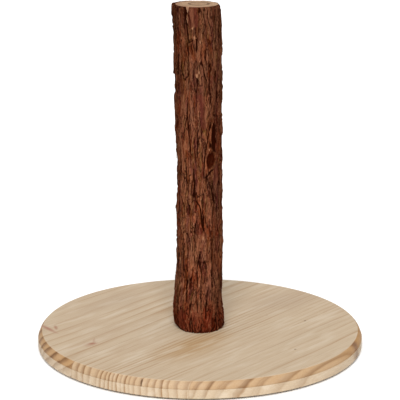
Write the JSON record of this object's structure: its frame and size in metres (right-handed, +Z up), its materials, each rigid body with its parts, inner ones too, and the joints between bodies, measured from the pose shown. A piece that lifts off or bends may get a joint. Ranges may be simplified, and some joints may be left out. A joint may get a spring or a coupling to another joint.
{
  "type": "paper towel holder",
  "caption": "Upright kitchen roll holder: a bark-covered natural branch screwed to a round edge-glued pine board with felt pads beneath.",
  "frame": {"origin": "centre of the round board's footprint, on the surface that the felt pads stand on", "axes": "+Z up along the branch, -Y towards the front, +X to the right"},
  "size_m": [0.28, 0.28, 0.297],
  "materials": {
    "pine": "sanded pale pine, no stain, matt",
    "branch_wood": "dry sawn end grain, matt",
    "bark": "natural stringy bark, reddish brown with grey ridges, very rough",
    "screw_steel": "bright zinc plated",
    "felt": "pressed felt"
  },
  "bodies": {
    "root": {"stave_left": "pine", "stave_centre": "pine", "stave_right": "pine", "branch_wood": "branch_wood", "branch_bark": "bark", "post_screw_1": "screw_steel", "post_screw_2": "screw_steel", "felt_pad_1": "felt", "felt_pad_2": "felt", "felt_pad_3": "felt", "felt_pad_4": "felt"}
  },
  "joints": []
}
